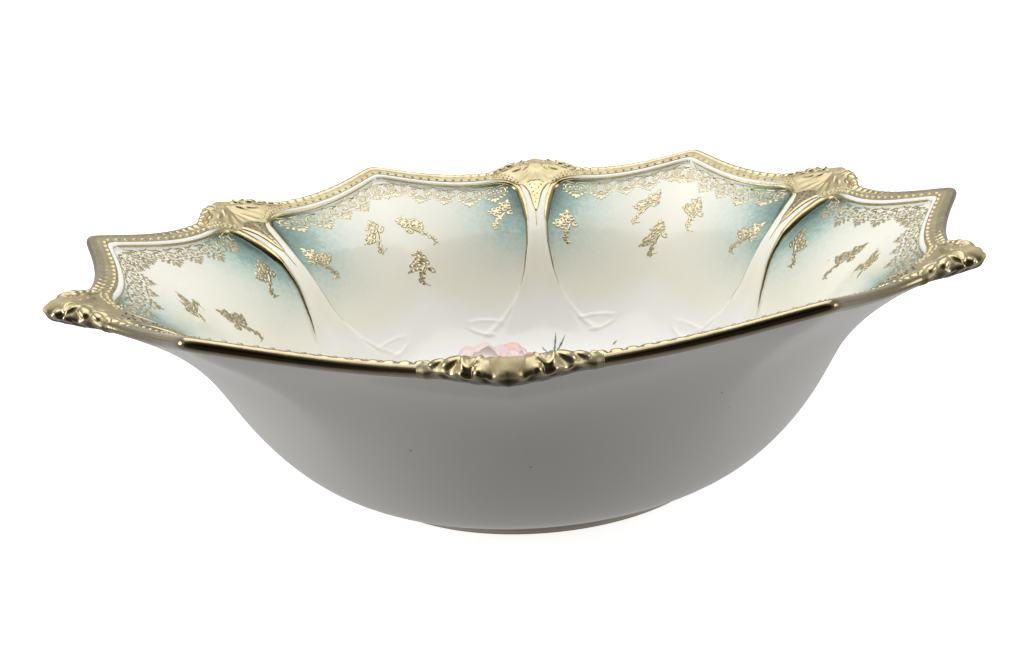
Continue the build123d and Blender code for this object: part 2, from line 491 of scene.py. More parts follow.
def stipple_material():
    n = Nodes("stipple_sepia")
    n.set(Base_Color=n.mix(n.noise(600, 2), rgb(78, 58, 24), rgb(112, 88, 40)), Roughness=0.35)
    return n.material


def paint_material():
    n = Nodes("overglaze_paint")
    shade = n.spread(n.noise(350, 4, 0.6), 0.3, 0.7, 0.0, 0.35)
    colour = n.node("ShaderNodeAttribute", attribute_name="paint").outputs["Color"]
    n.set(Base_Color=n.mix(shade, colour, rgb(244, 236, 226)), Roughness=0.14)
    n.shader.inputs["Coat Weight"].default_value = 0.3
    return n.material


def foot_material():
    n = Nodes("foot_porcelain")
    grain = n.noise(500, 5, 0.7)
    low = n.node("ShaderNodeTexCoord").outputs["Object"]
    height = n.node("ShaderNodeSeparateXYZ", inputs={"Vector": low}).outputs["Z"]
    bare_clay = n.spread(height, 0.0006, 0.0014, 1.0, 0.0)
    worn = n.mix(grain, rgb(196, 184, 166), rgb(168, 154, 134))
    n.set(Base_Color=n.mix(bare_clay, rgb(214, 206, 194), worn), Roughness=n.spread(bare_clay, 0.0, 1.0, 0.14, 0.6))
    n.bump(grain, 0.15, 0.0003)
    return n.material


GLAZE = glaze_material()
MATT_ROUGHNESS = 0.24
# The dark brown gilt of the painted dark reflection on the outer lip and of the painted shade under the scallops
PAINTED_DARK_GILT = rgb(62, 48, 32)
GILT = gold_material("polished_gilding", rgb(188, 176, 142), rgb(168, 152, 112), 0.13, 0.22, 0.1, moulded=True)
GILT_LACE = gold_material("printed_gilding", rgb(196, 184, 152), rgb(178, 164, 126), 0.24, 0.36, 0.1)
GILT_LINE = gold_material("gilt_line", rgb(194, 180, 138), rgb(170, 150, 104), 0.2, 0.32, 0.1)
STIPPLE = stipple_material()
PAINT = paint_material()
FOOT = foot_material()

# ------------------------------------------------------------------ shell
CORE_COLUMNS = 8
PANEL_COLUMNS = 38
WIDEST_CORE = 66.0


def column_angles(depth):
    """The columns of the shell from a cartouche's line to a point, crowded along the rib's edge."""
    depth = min(max(depth, 0.0), WIDEST_CORE)
    edge = degrees(float(rib_half_width(depth)) / float(look_up(TABLE_R, 0.0, depth)))
    core = np.linspace(0, edge, CORE_COLUMNS + 1)[:-1]
    v = np.linspace(0, 1, PANEL_COLUMNS + 1)
    return np.r_[core, edge + (HALF_PITCH - edge) * (0.25 * v + 0.75 * v * v)]


def shell():
    inner_rows = np.r_[np.arange(0, 12, 0.5), np.arange(12, 30, 1.0), np.arange(30, 56, 1.6), np.arange(56, 64, 1.0),
                       np.arange(64, 76, 0.5), np.arange(76, 80, 1.0)]
    floor_rows = np.linspace(0, 1, 24)
    lip_rows = -np.linspace(0, LIP, 8)[1:]
    outer_rows = np.linspace(0, 1, 52)[1:]
    start = inner_rows[-1]
    points, tints, creams = [], [], []

    def row(depth_hint, tau_of):
        half = column_angles(depth_hint)
        a = np.r_[half, PITCH - half[-2::-1]][:-1]
        a = np.concatenate([a + PITCH * k for k in range(LOBES)])
        tau = tau_of(a)
        inside = tau >= 0
        p = bare(a, tau) + normal(a, tau) * (relief(a, tau) * inside)[:, None]
        points.append(turned(p, FIRST_CARTOUCHE))
        x, depth = across(a, tau), np.maximum(tau, 0)
        inset = panel_inset(x, depth)
        side = np.maximum(x - rib_half_width(depth), 0)
        fade = smooth(60, 12, depth) * smooth(-0.6, 0.6, inset)
        teal_and_painted_shade = (0.74 * np.exp(-((side / 17) ** 1.5)) + 0.4 * np.exp(-side / 3.5)) * fade ** 1.1
        teal_and_painted_shade = teal_and_painted_shade + 0.13 * np.exp(-((side / 32) ** 2)) * smooth(56, 10, depth) * smooth(-0.6, 0.6, inset)
        # Painted shade and dark reflection: a teal strip on the white fillet under the rim band, beside each rib
        band = 0.5 * np.exp(-((side / 12) ** 2)) * smooth(3, 6.5, depth) * smooth(9, 6.5, depth) * (side > 0)
        tints.append(np.clip(teal_and_painted_shade + band, 0, 1) * inside)
        creams.append(np.clip(smooth(68, 55, depth) * smooth(4, 16, depth), 0, 1) * inside)

    for f in floor_rows[:0:-1]:
        row(80, lambda a, f=f: start + (limit(TAU_HIGH, a) - 2.0 - start) * f)
    for d in inner_rows[::-1]:
        row(d, lambda a, d=d: np.full(a.shape, d))
    for t in lip_rows:
        row(0, lambda a, t=t: np.full(a.shape, t))
    for f in outer_rows:
        row(0, lambda a, f=f: -LIP + (limit(TAU_LOW, a) + LIP + 2.0) * f)
    columns = len(points[0])
    rows = len(points)
    verts = np.concatenate(points)
    faces = grid_faces(rows, columns, wrap_columns=True)
    top, bottom = verts[:columns].mean(0), verts[-columns:].mean(0)
    verts = np.vstack([verts, top, bottom])
    n = rows * columns
    faces += [[n, (j + 1) % columns, j] for j in range(columns)]
    last = n - columns
    faces += [[n + 1, last + j, last + (j + 1) % columns] for j in range(columns)]
    teal_and_painted_shade = np.r_[np.concatenate(tints), 0, 0]
    cream = np.r_[np.concatenate(creams), 0, 0]
    piece = build("glazed_shell", verts, faces, GLAZE, "porcelain", {"teal_and_painted_shade": teal_and_painted_shade, "cream": cream})
    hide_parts("bowl_body", *[f"rib_{k + 1}" for k in range(LOBES)])
    return piece


shell()


# ------------------------------------------------------------------ foot ring
def foot_ring():
    low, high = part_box("foot_ring")
    outer, top = high.x / UNIT, high.z / UNIT
    profile = [(52.0, top + 0.4), (52.0, 1.2), (52.4, 0.4), (53.4, 0.0), (56.6, 0.0), (57.9, 0.5), (outer, 1.6),
               (outer + 0.1, 2.6), (outer + 1.2, top + 0.4)]
    profile = np.array(profile)
    dense = np.linspace(0, len(profile) - 1, 33)
    radius = np.interp(dense, range(len(profile)), profile[:, 0])
    height = np.interp(dense, range(len(profile)), profile[:, 1])
    turn = np.linspace(0, 2 * pi, 241)[:-1]
    loops = np.stack([np.outer(np.cos(turn), radius), np.outer(np.sin(turn), radius),
                      np.broadcast_to(height, (240, 33))], -1)
    faces = []
    for i in range(240):
        for j in range(33):
            k, m = (i + 1) % 240, (j + 1) % 33
            faces.append([i * 33 + j, k * 33 + j, k * 33 + m, i * 33 + m])
    piece = build("foot_ring_worn", loops.reshape(-1, 3), faces, FOOT, "unglazed_foot")
    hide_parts("foot_ring")


foot_ring()

# ------------------------------------------------------------------ gilded rim strips
CARTOUCHE_REACH = 17.5
BEAD_PITCH = 3.3
GILT_OUTSIDE = 1.4
GILT_INSIDE = 4.4
# Strength of the painted dark reflection on the outer face of the lip, where it faces the dark side of the room
LIP_DARK_REFLECTION = 0.5


def skin(points, normals, heights, sink):
    """Loops of a thin closed skin: the raised face, and a plain face sunk into the porcelain."""
    face = points + normals * heights[..., None]
    back = (points - normals * sink)[:, ::-6]
    return np.concatenate([face, back], 1)


def lip_push(angle, tau, push):
    """Moves places near the lip outward along the flare."""
    t = np.radians(angle)
    weight = np.where(tau > 0, smooth(9, -1, tau), smooth(-LIP - 8, -LIP - 0.5, tau))
    out = np.stack([np.cos(t) * cos(FLARE), np.sin(t) * cos(FLARE), np.full(np.shape(t), sin(FLARE))], -1)
    return out * (push * weight)[..., None]


def rim_strip(number):
    taus = np.r_[np.linspace(GILT_INSIDE, 0, 22), -np.linspace(0, LIP + GILT_OUTSIDE, 20)[1:]]
    start = degrees(CARTOUCHE_REACH / 133.0)
    angles = np.linspace(start, PITCH - start, 470)
    a, tau = np.meshgrid(angles, taus, indexing="ij")
    mid = bare(angles, np.full(angles.shape, 4.2))
    run = np.r_[0, np.cumsum(np.linalg.norm(np.diff(mid, axis=0), axis=1))]
    run = (run - run[-1] / 2)[:, None]
    x = across(a, tau)
    near = np.exp(-np.maximum(x - CARTOUCHE_REACH, 0) / 13)
    from_bead = (run / BEAD_PITCH) % 1 * BEAD_PITCH - BEAD_PITCH / 2
    bead = 0.5 * np.sqrt(np.clip(1 - (from_bead / 0.62) ** 2 - ((tau - 3.2) / 0.62) ** 2, 0, 1))
    lobe = (0.55 + 0.45 * near) * np.clip(1 - (from_bead / 1.45) ** 2 - ((tau - 0.3) / 1.5) ** 2, 0, 1)
    gadroon = 0.85 * near * np.sqrt(lobe)
    edge = 0.1 * np.exp(-(((tau - 0.1) / 0.5) ** 2))
    ends = smooth(GILT_INSIDE, GILT_INSIDE - 0.5, tau) * smooth(-LIP - GILT_OUTSIDE, -LIP - GILT_OUTSIDE + 0.4, tau)
    height = relief(a, tau) + 0.14 + (bead + gadroon + edge + 0.16 * smooth(0.4, 1.6, tau)) * ends
    height = np.where(ends < 0.02, relief(a, tau) - 0.05, height)
    loops = skin(bare(a, tau), normal(a, tau), height, 0.45)
    loops = turned(loops, FIRST_CARTOUCHE + PITCH * number)
    n, m = loops.shape[:2]
    matt = np.zeros((n, m))
    matt[:, : tau.shape[1]] = smooth(0.2, 1.4, tau) * (1 - 0.7 * (bead > 0.1))
    # Painted dark reflection: past tau -1.3 the lip's outer face turns dark brown; the hidden back gets the same
    painted_shade_and_reflection = np.full((n, m), LIP_DARK_REFLECTION)
    painted_shade_and_reflection[:, : tau.shape[1]] = LIP_DARK_REFLECTION * smooth(-1.3, -1.9, tau)
    faces = grid_faces(n, m, wrap_columns=True)
    faces += [list(range(m))[::-1], [(n - 1) * m + i for i in range(m)]]
    piece = build(f"gilt_rim_{number + 1}", loops.reshape(-1, 3), faces, GILT, "gilding",
                  {"matt": matt, "painted_shade_and_reflection": painted_shade_and_reflection})
    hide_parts(f"rim_strip_{number + 1}")


for number in range(LOBES):
    rim_strip(number)


# ------------------------------------------------------------------ cartouches
def oval(x, e, centre, radii, turn=0.0):
    """Squared distance from an oval's centre, 1 on its edge."""
    c, s = cos(radians(turn)), sin(radians(turn))
    u, v = x - centre[0], e - centre[1]
    return ((u * c + v * s) / radii[0]) ** 2 + ((-u * s + v * c) / radii[1]) ** 2


def dome(rho, rise, power=1.0):
    return rise * np.clip(1 - rho ** power, 0, 1) ** 0.5


def scroll_points(centre, start, end, begin, finish, steps=22):
    turn = np.radians(np.linspace(begin, finish, steps))
    r = np.linspace(start, end, steps)
    return list(zip(centre[0] + r * np.cos(turn), centre[1] + r * np.sin(turn)))


LEAVES = [
    # (centre, radii, turn, rise) on the right of the boss
    ((11.2, -1.2), (2.3, 1.05), -24, 1.0), ((11.9, 1.0), (2.2, 0.8), 10, 0.75), ((14.8, -1.0), (2.0, 0.95), -28, 0.85),
    ((4.9, -3.0), (1.3, 0.9), 24, 0.8), ((8.1, -3.5), (1.7, 0.8), -6, 0.85), ((15.3, 1.2), (1.9, 0.7), 4, 0.55),
    ((17.9, -0.6), (1.4, 0.8), -20, 0.6), ((4.4, 3.3), (1.8, 0.7), 38, 0.5), ((8.0, 3.2), (2.0, 0.65), 8, 0.45),
]
BOSS = ((0, -0.6), (3.4, 2.5))
BOSS_MATT = 2.0
# Strength of the painted shade under the scallop below a cartouche's lip
SCALLOP_PAINTED_SHADE = 0.95
SPIRAL = ((7.3, -0.7), 2.1, 0.6)
SHOULDER = ((0, 4, 8, 11, 14, 17, 19.5), (1.0, 1.6, 1.8, 1.5, 0.9, 0.35, 0.0))


def sculpture(x, e):
    """The cartouche's modelling above its ground, for places x across and e down from the rim."""
    u = np.abs(x)
    boss = oval(u, e, *BOSS) ** 1.9
    height = dome(boss, 0.6)
    height -= 0.5 * np.exp(-(((np.sqrt(np.sqrt(boss)) - 1.16) / 0.12) ** 2))
    centre, start, end = SPIRAL
    spiral = scroll_points(centre, start, end, 160, 600)
    height += 0.95 * np.exp(-((ridge_distance(u, e, spiral) / 0.5) ** 2))
    height -= 0.5 * np.exp(-oval(u, e, centre, (1.9, 1.7))) + 0.8 * np.exp(-oval(u, e, centre, (0.6, 0.5)))
    for centre, radii, turn, rise in LEAVES:
        rho = oval(u, e, centre, radii, turn)
        height = np.maximum(height, dome(rho, rise))
    fan = np.hypot(u, e - 2.5)
    flute = np.cos(np.arctan2(u, e - 2.5) * 12)
    height += 0.13 * flute * smooth(3.4, 4.8, fan) * smooth(10.5, 8.0, fan) * (e > 3.5)
    return height


def cartouche(number):
    columns, rows = 191, 58
    x = np.linspace(-19.5, 19.5, columns)
    reach = np.interp(np.abs(x), (0, 2.5, 4.5, 6, 8, 10.5, 13, 16, 19.5),
                      (13.4, 13.3, 12.9, 12.3, 10.9, 8.1, 6.4, 5.2, 4.5))
    down = np.linspace(1, 0, rows)
    below = LIP + GILT_OUTSIDE + 3.0 * np.exp(-((x / 11.0) ** 2))
    tau = np.concatenate([reach[:, None] * down[None, :], -below[:, None] * np.linspace(0, 1, 34)[None, 1:]], 1)
    a = np.degrees(x / 133.0)[:, None] * np.ones(tau.shape)
    a = np.where(tau > 0, angle_at(x[:, None] * np.ones(tau.shape), np.maximum(tau, 0)), np.degrees(x / 129.6)[:, None])
    wide = np.abs(x)[:, None] * np.ones(tau.shape)
    wave = 1 + 0.13 * np.cos(2 * pi * wide / 4.4)
    push = np.interp(wide, *SHOULDER) * wave
    relief_here = relief(a, tau)
    side = smooth(19.5, 17.6, wide)
    end = smooth(1.0, 0.9, tau / reach[:, None]) * smooth(1.0, 0.9, -tau / below[:, None])
    detail = sculpture(x[:, None] * np.ones(tau.shape), tau)
    bead_run = np.cos(pi * wide / 1.5) ** 2
    bead_row = 0.42 * np.sqrt(np.clip(bead_run * 1.5 - 0.6 - ((tau - reach[:, None] + 1.1) / 0.55) ** 2, 0, 1))
    bead_row += 0.36 * np.sqrt(np.clip(0.9 - bead_run * 1.5 - ((tau - reach[:, None] + 2.6) / 0.5) ** 2, 0, 1))
    bead_row *= (wide > 6.5)
    lip_flutes = 0.2 * np.cos(2 * pi * wide / 4.4) * np.exp(-(((tau + LIP) / 1.2) ** 2))
    scallop = -3.1 + 0.3 * np.cos(2 * pi * wide / 4.4)
    lip_flutes += 0.5 * np.exp(-(((tau - scallop) / 0.42) ** 2)) * smooth(15, 11, wide)
    ground = 0.2 + 0.75 * smooth(16, 6, wide) * smooth(7, 1, tau)
    under = np.exp(-((wide / 8.5) ** 2)) * smooth(-1.6, -3.8, tau) * smooth(-LIP - 4.6, -LIP - 0.8, tau)
    ground = ground + 0.6 * under
    height = relief_here + 0.16 + (ground + detail * smooth(-3.9, -3.1, tau) + bead_row + lip_flutes) * side * end
    base = bare(a, tau) + lip_push(a, tau, push)
    n = normal(a, tau)
    loops = skin(base, n, height, 0.6)
    loops = turned(loops, FIRST_CARTOUCHE + PITCH * number)
    r, m = loops.shape[:2]
    faces = grid_faces(r, m, wrap_columns=True)
    faces += [list(range(m))[::-1], [(r - 1) * m + i for i in range(m)]]
    matt = np.zeros((r, m))
    polished = smooth(0.15, 0.6, detail + bead_row) * (wide > 3.9)
    matt[:, : tau.shape[1]] = smooth(-3.3, -2.7, tau) * (1.15 - 0.9 * polished)
    matt[:, : tau.shape[1]] += (BOSS_MATT - 1.15) * (oval(x[:, None], tau, *BOSS) < 1.0)
    # Painted shade under the scallop, and the painted dark reflection of the outer lip towards the cartouche's sides
    painted_shade_and_reflection = np.full((r, m), LIP_DARK_REFLECTION)
    below_scallop = smooth(scallop - 0.1, scallop - 0.7, tau) * smooth(19, 12, wide)
    painted_shade_and_reflection[:, : tau.shape[1]] = SCALLOP_PAINTED_SHADE * below_scallop + LIP_DARK_REFLECTION * smooth(-1.3, -1.9, tau) * smooth(12, 19, wide)
    piece = build(f"gilt_cartouche_{number + 1}", loops.reshape(-1, 3), faces, GILT, "gilding",
                  {"matt": matt, "painted_shade_and_reflection": painted_shade_and_reflection})
    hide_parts(f"cartouche_{number + 1}")


for number in range(LOBES):
    cartouche(number)

# ------------------------------------------------------------------ gilt tongue, lines and lace
TONGUE = ((9.5, 7.6), (11.0, 6.9), (12.5, 5.7), (14.5, 4.6), (18, 3.2), (23, 2.1), (27, 1.4), (30.5, 0.45))
TONGUE_DOTS = ((-2.6, 14.6), (2.4, 14.4), (0.2, 15.6), (-1.5, 17.2), (1.7, 17.0), (-0.3, 18.9), (1.1, 19.9),
               (-0.9, 21.2), (0.5, 22.6), (-0.3, 24.4), (0.1, 26.2), (-3.4, 12.6), (3.2, 12.4), (0.6, 12.9))


def tongue(number):
    batch = Batch()
    place = placer(number)
    depth = np.linspace(TONGUE[0][0], TONGUE[-1][0], 26)
    half = np.interp(depth, *zip(*TONGUE))
    share = np.linspace(-1, 1, 9)
    points = np.stack([half[:, None] * share, depth[:, None] * np.ones(9)], -1)
    crown = 0.16 + 0.34 * (1 - share**4)[None, :] * (np.clip(half / 2.5, 0, 1) * smooth(10, 13, depth))[:, None]
    face = np.stack([place(points[:, j], crown[:, j]) for j in range(9)], 1)
    back = np.stack([place(points[:, j], -0.4) for j in (8, 4, 0)], 1)
    loops = np.concatenate([face, back], 1)
    faces = grid_faces(26, 12, wrap_columns=True) + [list(range(12))[::-1], [25 * 12 + i for i in range(12)]]
    batch.add(loops.reshape(-1, 3), faces)
    spike = np.linspace(30.0, 37.5, 8)
    batch.ribbon(place, np.column_stack([np.zeros(8), spike]), np.linspace(0.42, 0.08, 8), 0.12)
    batch.piece(f"gilt_tongue_{number + 1}", GILT, "gilding")
    dots = Batch()
    turn = np.linspace(0, 2 * pi, 9)[:-1]
    for x, d in TONGUE_DOTS:
        crown_here = 0.5 * np.clip(np.interp(d, *zip(*TONGUE)) / 2.5, 0, 1)
        dots.blob(lambda p, h, c=crown_here: place(p, h + c), np.column_stack([x + 0.3 * np.cos(turn), d + 0.34 * np.sin(turn)]), 0.12)
    dots.piece(f"tongue_dots_{number + 1}", STIPPLE, "gilding")


LINE_END = 57.0


def frame_path():
    """Half of the line that edges a panel, from the foot of the rib up and along to the point, as (x, depth)."""
    run = np.linspace(LINE_END, BORDER + CORNER, 44)
    side = np.column_stack([rib_half_width(run), run])
    turn = np.linspace(0, pi / 2, 16)[1:]
    corner_depth = BORDER + CORNER - CORNER * np.sin(turn)
    corner = np.column_stack([rib_half_width(corner_depth) + CORNER * (1 - np.cos(turn)), corner_depth])
    x = np.linspace(corner[-1, 0], 66.0, 60)[1:]
    top = np.column_stack([x, np.full(x.shape, BORDER)])
    return np.vstack([side, corner, top])


def line_half(points):
    """The line's half-width: broad beside the top of the rib, fine elsewhere."""
    x, depth = points[:, 0], points[:, 1]
    beside = np.interp(depth, (8, 12, 20, 29, 33, 50, LINE_END), (0.6, 1.0, 1.0, 0.8, 0.42, 0.24, 0.05))
    return np.where(depth > 9, beside, np.interp(x, (10, 22, 60), (0.5, 0.26, 0.2)))


def panel_lines(number):
    """The gilt line round the panel that follows cartouche number."""
    batch = Batch()
    path = frame_path()
    half = line_half(path)
    place_a = placer(number)
    place_b = placer(number + 1)
    mirrored = path * (-1, 1)
    batch.ribbon(place_a, path, half, 0.2)
    batch.ribbon(place_b, mirrored, half, 0.2)
    batch.piece(f"gilt_line_{number + 1}", GILT_LINE, "gilding")


def disc(x, y, r, steps=8):
    turn = np.linspace(0, 2 * pi, steps + 1)[:-1]
    return np.column_stack([x + r * np.cos(turn), y + r * np.sin(turn)])


def leaf(x, y, length, width, turn, steps=5):
    """A pointed leaf from (x, y), growing towards turn degrees (0 right, 90 down)."""
    t = np.linspace(0, 1, steps + 1)
    half = width / 2 * np.sin(pi * t) ** 0.8
    along = t * length
    upper = np.column_stack([along, half])
    lower = np.column_stack([along, -half])[-2:0:-1]
    shape = np.vstack([upper, lower])
    c, s = cos(radians(turn)), sin(radians(turn))
    return np.column_stack([x + shape[:, 0] * c - shape[:, 1] * s, y + shape[:, 0] * s + shape[:, 1] * c])


def lace_motif():
    """One hanging fan, 10 wide and 11 deep: two scrolls under a small arch, side leaves and a palmette."""
    strokes, fills = [], []
    for side in (-1, 1):
        scroll = np.array(scroll_points((2.5, 4.3), 2.3, 0.6, -120, 300, 24)) * (side, 1)
        strokes.append((scroll, np.linspace(0.44, 0.3, 24)))
        arch = np.array([(5.1, 0.35), (4.2, 0.9), (3.0, 1.1), (1.6, 1.0), (0.0, 1.7)]) * (side, 1)
        strokes.append((arch, (0.16, 0.28, 0.34, 0.36, 0.4)))
        brace = np.array([(0.1, 6.3), (0.9, 7.0), (1.9, 7.3), (2.9, 7.0)]) * (side, 1)
        strokes.append((brace, (0.34, 0.36, 0.32, 0.2)))
        for x, y, length, width, turn in ((0.5, 8.0, 2.3, 1.2, 58), (1.6, 7.5, 2.1, 1.2, 36), (3.0, 6.7, 1.8, 1.1, 24),
                                          (4.5, 5.2, 1.0, 0.9, 6), (4.4, 3.2, 1.0, 0.8, -34), (0.3, 4.0, 1.5, 0.9, -58)):
            fills.append(leaf(x * side, y, length, width, turn if side > 0 else 180 - turn)[::side])
        fills.append(disc(2.5 * side, 4.3, 0.62))
    fills += [disc(0, 5.3, 0.6), disc(0, 7.0, 0.5), leaf(0, 7.6, 3.5, 1.6, 90)]
    return strokes, fills


LACE = lace_motif()
LACE_STOPS = ((16.6, 1.0), (27.0, 1.06), (37.6, 0.97), (47.8, 1.06), (57.6, 0.92))


def lace(number):
    batch = Batch()
    strokes, fills = LACE
    for shift, stops in ((0.0, LACE_STOPS), (HALF_PITCH, ((0.0, 1.0),)), (PITCH, [(-x, s) for x, s in LACE_STOPS])):
        base_number = number if shift < PITCH else number + 1
        place = placer(base_number, shift if shift < PITCH else 0.0)
        for x, size in stops:
            top = BORDER + 0.35 + (0.9 if shift == HALF_PITCH else 0.0)

            def put(points):
                return np.asarray(points) * size + (x, top)

            for points, half in strokes:
                batch.ribbon(place, put(points), np.asarray(half) * size, 0.06, 0.15, 0.85)
            for outline in fills:
                batch.blob(place, put(outline), 0.065, 0.15, 0.85)
    batch.piece(f"gilt_lace_{number + 1}", GILT_LACE, "gilding")


def sprig_motif():
    """A spray seen from inside the bowl: two open flowers, a spike above, a looped leaf and a curled tail below."""
    strokes, fills = [], []
    for fx, fy, size in ((1.7, -2.6, 1.25), (-2.4, -1.0, 1.15)):
        for i in range(5):
            turn = radians(72 * i + 20 * fx)
            cx, cy = fx + 1.3 * size * cos(turn), fy + 1.3 * size * sin(turn)
            ring = disc(cx, cy, 0.66 * size, 9)
            strokes.append((np.vstack([ring, ring[:1]]), 0.5))
        fills.append(disc(fx, fy, 0.8 * size))
    strokes.append((np.array([(1.7, -0.4), (0.8, 0.9), (-0.3, 2.0), (-1.6, 2.8), (-2.7, 3.6), (-3.3, 4.7), (-3.4, 5.9),
                              (-3.0, 6.9), (-2.2, 7.6), (-1.2, 7.8)]), (0.5, 0.6, 0.62, 0.62, 0.6, 0.55, 0.48, 0.38, 0.26, 0.14)))
    loop = disc(3.3, 1.2, 0.95, 9) * (1.2, 0.9) + (-0.7, 0.2)
    strokes.append((np.vstack([loop, loop[:1]]), 0.42))
    fills += [leaf(2.2, -4.2, 2.6, 1.7, -62), leaf(0.4, -3.8, 2.2, 1.4, -128), leaf(-4.4, -1.4, 1.8, 1.2, 196),
              leaf(2.2, 0.2, 2.2, 1.4, 75)]
    for x, y, turn in ((-0.8, 2.3, 95), (-1.4, 2.6, -95), (-2.3, 3.3, 130), (-2.7, 3.6, -60), (-3.2, 4.6, 165),
                       (-3.2, 4.8, 10), (-3.4, 5.9, 190), (-2.9, 6.8, 160)):
        fills.append(leaf(x, y, 1.6, 1.2, turn))
    return strokes, fills


SPRIG = sprig_motif()
SPRIG_STOPS = [
    # (degrees from the panel's middle, depth, turn, mirrored) for each panel in turn, from the one left of +Y
    ((23.0, 31.5, 0, -1), (7.0, 29.0, -25, 1), (-2.2, 33.0, -32, -1), (-1.0, 51.0, -20, 1), (-22.4, 23.0, 0, 1)),
    ((23.0, 32.0, -10, -1), (6.0, 30.0, -30, -1), (-4.0, 45.0, -25, -1), (-22.0, 30.0, 0, 1)),
    ((23.0, 31.5, 0, -1), (7.0, 29.0, -25, 1), (-2.2, 33.0, -32, -1), (-1.0, 51.0, -20, 1), (-22.4, 23.0, 0, 1)),
    ((23.0, 31.0, -30, 1), (5.0, 26.0, 0, 1), (1.2, 44.0, -25, 1), (-6.4, 27.0, -30, 1), (-22.6, 31.0, 10, 1)),
    ((22.0, 30.0, 0, -1), (4.0, 33.0, 0, 1), (-6.0, 28.0, 8, 1), (-23.0, 32.0, 0, 1)),
    ((23.0, 31.0, -30, 1), (5.0, 26.0, 0, 1), (1.2, 44.0, -25, 1), (-6.4, 27.0, -30, 1), (-22.6, 31.0, 10, 1)),
]


def sprigs(number):
    batch = Batch()
    strokes, fills = SPRIG
    for shift, depth, turn, mirror in SPRIG_STOPS[number]:
        place = placer(number, HALF_PITCH + shift)
        c, s = cos(radians(turn)), sin(radians(turn))

        def put(points):
            p = np.asarray(points) * (mirror, 1)
            return np.column_stack([p[:, 1] * s - p[:, 0] * c, depth + p[:, 0] * s + p[:, 1] * c])

        for points, half in strokes:
            batch.ribbon(place, put(points), half, 0.06, 0.15, 0.85)
        for outline in fills:
            batch.blob(place, put(outline)[::-mirror], 0.065, 0.15, 0.85)
    batch.piece(f"gilt_sprigs_{number + 1}", GILT_LACE, "gilding")


for number in range(LOBES):
    tongue(number)
    panel_lines(number)
    lace(number)
    sprigs(number)

# ------------------------------------------------------------------ painted flowers on the floor
PETAL_TINTS = (rgb(232, 146, 112), rgb(236, 182, 162), rgb(236, 206, 202), rgb(222, 196, 210), rgb(238, 214, 206))
LEAF_TINTS = (rgb(70, 98, 62), rgb(104, 126, 84), rgb(130, 142, 98))
ROSES = ((-22, 58, 12.5), (-12.5, 64.5, 8.0), (-5, 60, 8.5), (-30, 36, 10.0), (-6, 38, 14.0), (16, 48, 9.5), (12, 18, 11.5),
         (-14, 12, 9.5), (4, -6, 10.5), (-10, -24, 8.5), (12, -30, 7.0))
FLOWER_LEAVES = ((-38, 50, 10, 160), (22, 54, 10, 10), (27, 42, 10, -10), (-40, 28, 10, 200), (-24, 20, 10, 215),
                 (26, 24, 11, -25), (24, 8, 9, -30), (-24, 2, 9, 190), (14, -12, 9, -30), (-4, -14, 9, 230),
                 (-20, -28, 8, 200), (0, -34, 9, 265), (20, -34, 8, -60))
GRASSES = ((4, 65.5, 10, 82), (4, 65.5, 10, 60), (3, 66, 6, 125), (27, 66, 2.2, 30))


def painted_flowers():
    verts, faces, colours = [], [], []
    count = 0
    floor_tau = limit(TAU_HIGH, 0.0)

    def floor_point(xy, lift):
        radius = np.hypot(xy[:, 0], xy[:, 1])
        angle = np.degrees(np.arctan2(xy[:, 1], xy[:, 0])) - FIRST_CARTOUCHE
        tau = limit(TAU_HIGH, angle) - radius
        for _ in range(4):
            tau = tau + (look_up(TABLE_R, angle, tau) - radius)
        return turned(on_inside(angle, tau, lift), FIRST_CARTOUCHE)

    def patch(outline, lift, middle, edge):
        nonlocal count
        n = len(outline)
        centre = outline.mean(0, keepdims=True)
        pts = np.vstack([floor_point(outline, -0.2), floor_point(outline, lift * 0.7),
                         floor_point(centre + (outline - centre) * 0.6, lift), floor_point(centre, lift)])
        verts.append(pts)
        tints = np.vstack([np.tile(edge, (2 * n, 1)), np.tile(np.add(middle, edge) / 2, (n, 1)), [middle]])
        colours.append(tints)
        f = grid_faces(3, n, wrap_columns=True)
        f += [[2 * n + i, 2 * n + (i + 1) % n, 3 * n] for i in range(n)] + [list(range(n))[::-1]]
        faces.extend([[v + count for v in q] for q in f])
        count += len(pts)

    rng = np.random.default_rng(7)
    for x, y, size, turn in FLOWER_LEAVES:
        outline = leaf(x, y, size, size * 0.46, turn, 8)
        green = LEAF_TINTS[int(rng.integers(3))]
        patch(outline, 0.05, green, np.add(green, rgb(190, 200, 160)) / 2)
    for x, y, size, turn in GRASSES:
        patch(leaf(x, y, size, 0.9, turn, 8), 0.05, LEAF_TINTS[0], LEAF_TINTS[0])
    for x, y, size in ROSES:
        level = 0.06
        for ring, petals in ((1.0, 7), (0.72, 6), (0.46, 5), (0.24, 3)):
            phase = rng.uniform(0, 360)
            for i in range(petals):
                turn = radians(phase + 360 / petals * i)
                reach = size * ring
                t = np.linspace(0, 2 * pi, 15)[:-1]
                wob = 1 + 0.08 * np.sin(3 * t + rng.uniform(0, 6))
                u = reach * 0.5 * np.cos(t) * wob
                v = reach * 0.52 * np.sin(t) * wob
                outline = np.column_stack([x + (reach * 0.5 + u) * cos(turn) - v * sin(turn),
                                           y + (reach * 0.5 + u) * sin(turn) + v * cos(turn)])
                pick = PETAL_TINTS[int(rng.integers(len(PETAL_TINTS)))]
                deep = np.add(pick, np.multiply(PETAL_TINTS[0], 1.2 - ring)) / (2.2 - ring)
                patch(outline, level, deep, pick)
                level += 0.006
        patch(disc(x, y, size * 0.13, 10), level + 0.01, rgb(222, 170, 84), rgb(232, 190, 110))
    build("painted_flowers", np.vstack(verts), faces, PAINT, "porcelain", colours=np.vstack(colours))


